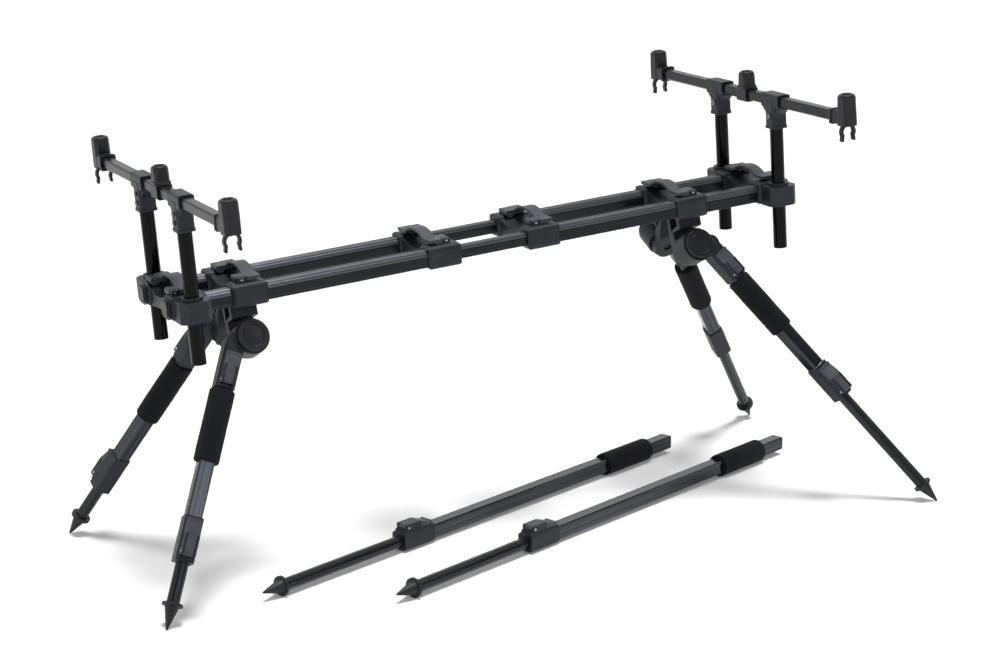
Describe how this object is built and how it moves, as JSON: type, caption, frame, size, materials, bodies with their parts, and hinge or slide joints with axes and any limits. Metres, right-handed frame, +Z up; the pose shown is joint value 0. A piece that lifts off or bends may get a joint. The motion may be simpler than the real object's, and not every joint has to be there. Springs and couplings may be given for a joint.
{
  "type": "rod pod",
  "caption": "Telescopic rod pod: twin ribbed rails with cam clamps, folding splayed legs with flip locks and spikes, height-adjustable alarm bars, and spare long legs.",
  "frame": {"origin": "centre of the footprint box on the floor", "axes": "+X along the rails toward the raised front end, +Y to the left of the pod, +Z up"},
  "size_m": [0.9646, 0.4232, 0.5064],
  "materials": {
    "foam": "matt closed-cell foam",
    "gunmetal_tube": "gunmetal anodised",
    "black_anodised_tube": "black anodised",
    "black_anodised_rail": "gloss black anodised",
    "gloss_black_upright": "gloss black",
    "lever_plastic": "satin moulded",
    "black_plastic": "satin moulded",
    "slate_plastic": "satin moulded"
  },
  "bodies": {
    "rear_section": {"rear_rails": "black_anodised_rail", "rear_end_block": "slate_plastic", "rear_mid_clamp": "slate_plastic", "rear_rail_plugs": "black_plastic"},
    "centre_section": {"centre_rails": "black_anodised_rail"},
    "front_section": {"front_rails": "black_anodised_rail", "front_end_block": "slate_plastic", "front_mid_clamp": "slate_plastic", "front_rail_plugs": "black_plastic"},
    "rear_head": {"rear_leg_head": "slate_plastic", "rear_hub_discs": "black_plastic"},
    "front_head": {"front_leg_head": "slate_plastic", "front_hub_discs": "black_plastic"},
    "rear_end_lever": {"rear_end_lever": "lever_plastic"},
    "rear_head_lever": {"rear_head_lever": "lever_plastic"},
    "rear_mid_lever": {"rear_mid_lever": "lever_plastic"},
    "front_mid_lever": {"front_mid_lever": "lever_plastic"},
    "front_head_lever": {"front_head_lever": "lever_plastic"},
    "front_end_lever": {"front_end_lever": "lever_plastic"},
    "rear_bar_set": {"rear_bar": "black_anodised_rail", "rear_uprights": "gloss_black_upright", "rear_bar_tees": "slate_plastic", "rear_alarm_sockets": "black_plastic"},
    "front_bar_set": {"front_bar": "black_anodised_rail", "front_uprights": "gloss_black_upright", "front_bar_tees": "slate_plastic", "front_alarm_sockets": "black_plastic"},
    "rear_right_knuckle": {"rear_right_knuckle": "slate_plastic"},
    "rear_right_latch": {"rear_right_latch": "lever_plastic"},
    "rear_right_leg": {"rear_right_leg_tube": "gunmetal_tube", "rear_right_grip": "foam"},
    "rear_right_lock_lever": {"rear_right_lock_lever": "lever_plastic"},
    "rear_right_lower_leg": {"rear_right_lower_leg": "black_anodised_tube"},
    "rear_left_knuckle": {"rear_left_knuckle": "slate_plastic"},
    "rear_left_latch": {"rear_left_latch": "lever_plastic"},
    "rear_left_leg": {"rear_left_leg_tube": "gunmetal_tube", "rear_left_grip": "foam"},
    "rear_left_lock_lever": {"rear_left_lock_lever": "lever_plastic"},
    "rear_left_lower_leg": {"rear_left_lower_leg": "black_anodised_tube"},
    "front_right_knuckle": {"front_right_knuckle": "slate_plastic"},
    "front_right_latch": {"front_right_latch": "lever_plastic"},
    "front_right_leg": {"front_right_leg_tube": "gunmetal_tube", "front_right_grip": "foam"},
    "front_right_lock_lever": {"front_right_lock_lever": "lever_plastic"},
    "front_right_lower_leg": {"front_right_lower_leg": "black_anodised_tube"},
    "front_left_knuckle": {"front_left_knuckle": "slate_plastic"},
    "front_left_latch": {"front_left_latch": "lever_plastic"},
    "front_left_leg": {"front_left_leg_tube": "gunmetal_tube", "front_left_grip": "foam"},
    "front_left_lock_lever": {"front_left_lock_lever": "lever_plastic"},
    "front_left_lower_leg": {"front_left_lower_leg": "black_anodised_tube"},
    "spare_a_leg": {"spare_a_leg_tube": "gunmetal_tube", "spare_a_grip": "foam"},
    "spare_a_lock_lever": {"spare_a_lock_lever": "lever_plastic"},
    "spare_a_lower_leg": {"spare_a_lower_leg": "black_anodised_tube"},
    "spare_b_leg": {"spare_b_leg_tube": "gunmetal_tube", "spare_b_grip": "foam"},
    "spare_b_lock_lever": {"spare_b_lock_lever": "lever_plastic"},
    "spare_b_lower_leg": {"spare_b_lower_leg": "black_anodised_tube"}
  },
  "joints": [
    {"name": "centre_rail_slide", "type": "slide", "parent": "rear_section", "child": "centre_section", "axis": [-0.9971, 0, -0.0767], "range_m": [-0.05, 0.04]},
    {"name": "front_rail_slide", "type": "slide", "parent": "centre_section", "child": "front_section", "axis": [-0.9971, 0, -0.0767], "range_m": [-0.05, 0.04]},
    {"name": "rear_head_slide", "type": "slide", "parent": "rear_section", "child": "rear_head", "axis": [0.9971, 0, 0.0767], "range_m": [-0.005, 0.03]},
    {"name": "front_head_slide", "type": "slide", "parent": "front_section", "child": "front_head", "axis": [-0.9971, 0, -0.0767], "range_m": [-0.005, 0.03]},
    {"name": "rear_end_lever_pivot", "type": "hinge", "parent": "rear_section", "child": "rear_end_lever", "pos_m": [-0.41508, 0, 0.32376], "axis": [0, -1, 0], "range_deg": [0, 95]},
    {"name": "rear_head_lever_pivot", "type": "hinge", "parent": "rear_head", "child": "rear_head_lever", "pos_m": [-0.3399, 0, 0.32954], "axis": [0, -1, 0], "range_deg": [0, 95]},
    {"name": "rear_mid_lever_pivot", "type": "hinge", "parent": "rear_section", "child": "rear_mid_lever", "pos_m": [-0.09562, 0, 0.34834], "axis": [0, 1, 0], "range_deg": [0, 95]},
    {"name": "front_mid_lever_pivot", "type": "hinge", "parent": "front_section", "child": "front_mid_lever", "pos_m": [0.01804, 0, 0.35708], "axis": [0, -1, 0], "range_deg": [0, 95]},
    {"name": "front_head_lever_pivot", "type": "hinge", "parent": "front_head", "child": "front_head_lever", "pos_m": [0.22782, 0, 0.37322], "axis": [0, 1, 0], "range_deg": [0, 95]},
    {"name": "front_end_lever_pivot", "type": "hinge", "parent": "front_section", "child": "front_end_lever", "pos_m": [0.34647, 0, 0.38235], "axis": [0, 1, 0], "range_deg": [0, 95]},
    {"name": "rear_bar_height", "type": "slide", "parent": "rear_section", "child": "rear_bar_set", "axis": [-0.0767, 0, 0.9971], "range_m": [-0.01, 0.035]},
    {"name": "front_bar_height", "type": "slide", "parent": "front_section", "child": "front_bar_set", "axis": [-0.0767, 0, 0.9971], "range_m": [-0.01, 0.035]},
    {"name": "rear_right_leg_pivot", "type": "hinge", "parent": "rear_head", "child": "rear_right_knuckle", "pos_m": [-0.33306, -0.04042, 0.26408], "axis": [0.0345, 0.8934, -0.448], "range_deg": [-119, 6]},
    {"name": "rear_right_latch_pivot", "type": "hinge", "parent": "rear_right_knuckle", "child": "rear_right_latch", "pos_m": [-0.37047, -0.07167, 0.22968], "axis": [0.9111, -0.2123, -0.3533], "range_deg": [0, 70]},
    {"name": "rear_right_leg_release", "type": "slide", "parent": "rear_right_knuckle", "child": "rear_right_leg", "axis": [-0.4108, -0.396, -0.8213], "range_m": [0, 0.04]},
    {"name": "rear_right_lock_lever_pivot", "type": "hinge", "parent": "rear_right_leg", "child": "rear_right_lock_lever", "pos_m": [-0.44878, -0.14867, 0.07401], "axis": [0.9111, -0.2123, -0.3533], "range_deg": [0, 75]},
    {"name": "rear_right_lower_leg_slide", "type": "slide", "parent": "rear_right_leg", "child": "rear_right_lower_leg", "axis": [-0.4108, -0.396, -0.8213], "range_m": [-0.0424, 0.1341]},
    {"name": "rear_left_leg_pivot", "type": "hinge", "parent": "rear_head", "child": "rear_left_knuckle", "pos_m": [-0.33306, 0.04042, 0.26408], "axis": [-0.0345, 0.8934, 0.448], "range_deg": [-119, 6]},
    {"name": "rear_left_latch_pivot", "type": "hinge", "parent": "rear_left_knuckle", "child": "rear_left_latch", "pos_m": [-0.37047, 0.07167, 0.22968], "axis": [-0.9111, -0.2123, 0.3533], "range_deg": [0, 70]},
    {"name": "rear_left_leg_release", "type": "slide", "parent": "rear_left_knuckle", "child": "rear_left_leg", "axis": [-0.4108, 0.396, -0.8213], "range_m": [0, 0.04]},
    {"name": "rear_left_lock_lever_pivot", "type": "hinge", "parent": "rear_left_leg", "child": "rear_left_lock_lever", "pos_m": [-0.44878, 0.14867, 0.07401], "axis": [-0.9111, -0.2123, 0.3533], "range_deg": [0, 75]},
    {"name": "rear_left_lower_leg_slide", "type": "slide", "parent": "rear_left_leg", "child": "rear_left_lower_leg", "axis": [-0.4108, 0.396, -0.8213], "range_m": [-0.0424, 0.1341]},
    {"name": "front_right_leg_pivot", "type": "hinge", "parent": "front_head", "child": "front_right_knuckle", "pos_m": [0.23108, -0.04042, 0.30749], "axis": [-0.0345, -0.8934, 0.448], "range_deg": [-120.6, 6]},
    {"name": "front_right_latch_pivot", "type": "hinge", "parent": "front_right_knuckle", "child": "front_right_latch", "pos_m": [0.2744, -0.07117, 0.28031], "axis": [0.8311, 0.2233, 0.5092], "range_deg": [0, 70]},
    {"name": "front_right_leg_release", "type": "slide", "parent": "front_right_knuckle", "child": "front_right_leg", "axis": [0.555, -0.3899, -0.7348], "range_m": [0, 0.04]},
    {"name": "front_right_lock_lever_pivot", "type": "hinge", "parent": "front_right_leg", "child": "front_right_lock_lever", "pos_m": [0.38006, -0.14701, 0.14111], "axis": [0.8311, 0.2233, 0.5092], "range_deg": [0, 75]},
    {"name": "front_right_lower_leg_slide", "type": "slide", "parent": "front_right_leg", "child": "front_right_lower_leg", "axis": [0.555, -0.3899, -0.7348], "range_m": [-0.1431, 0.0334]},
    {"name": "front_left_leg_pivot", "type": "hinge", "parent": "front_head", "child": "front_left_knuckle", "pos_m": [0.23108, 0.04042, 0.30749], "axis": [0.0345, -0.8934, -0.448], "range_deg": [-120.6, 6]},
    {"name": "front_left_latch_pivot", "type": "hinge", "parent": "front_left_knuckle", "child": "front_left_latch", "pos_m": [0.2744, 0.07117, 0.28031], "axis": [-0.8311, 0.2233, -0.5092], "range_deg": [0, 70]},
    {"name": "front_left_leg_release", "type": "slide", "parent": "front_left_knuckle", "child": "front_left_leg", "axis": [0.555, 0.3899, -0.7348], "range_m": [-0.014, 0.026]},
    {"name": "front_left_lock_lever_pivot", "type": "hinge", "parent": "front_left_leg", "child": "front_left_lock_lever", "pos_m": [0.38783, 0.15246, 0.13083], "axis": [-0.8311, 0.2233, -0.5092], "range_deg": [0, 75]},
    {"name": "front_left_lower_leg_slide", "type": "slide", "parent": "front_left_leg", "child": "front_left_lower_leg", "axis": [0.555, 0.3899, -0.7348], "range_m": [-0.1291, 0.0474]},
    {"name": "spare_a_lift", "type": "slide", "parent": "rear_section", "child": "spare_a_leg", "axis": [0, 0, 1], "range_m": [0, 0.1]},
    {"name": "spare_a_lock_lever_pivot", "type": "hinge", "parent": "spare_a_leg", "child": "spare_a_lock_lever", "pos_m": [-0.16045, -0.06101, 0.02759], "axis": [0.3616, -0.9323, 0], "range_deg": [0, 75]},
    {"name": "spare_a_lower_leg_slide", "type": "slide", "parent": "spare_a_leg", "child": "spare_a_lower_leg", "axis": [-0.9323, -0.3616, -0.0044], "range_m": [-0.1795, 0.03]},
    {"name": "spare_b_lift", "type": "slide", "parent": "rear_section", "child": "spare_b_leg", "axis": [0, 0, 1], "range_m": [0, 0.1]},
    {"name": "spare_b_lock_lever_pivot", "type": "hinge", "parent": "spare_b_leg", "child": "spare_b_lock_lever", "pos_m": [-0.03645, -0.13141, 0.02759], "axis": [0.3616, -0.9323, 0], "range_deg": [0, 75]},
    {"name": "spare_b_lower_leg_slide", "type": "slide", "parent": "spare_b_leg", "child": "spare_b_lower_leg", "axis": [-0.9323, -0.3616, -0.0044], "range_m": [-0.1795, 0.03]}
  ]
}
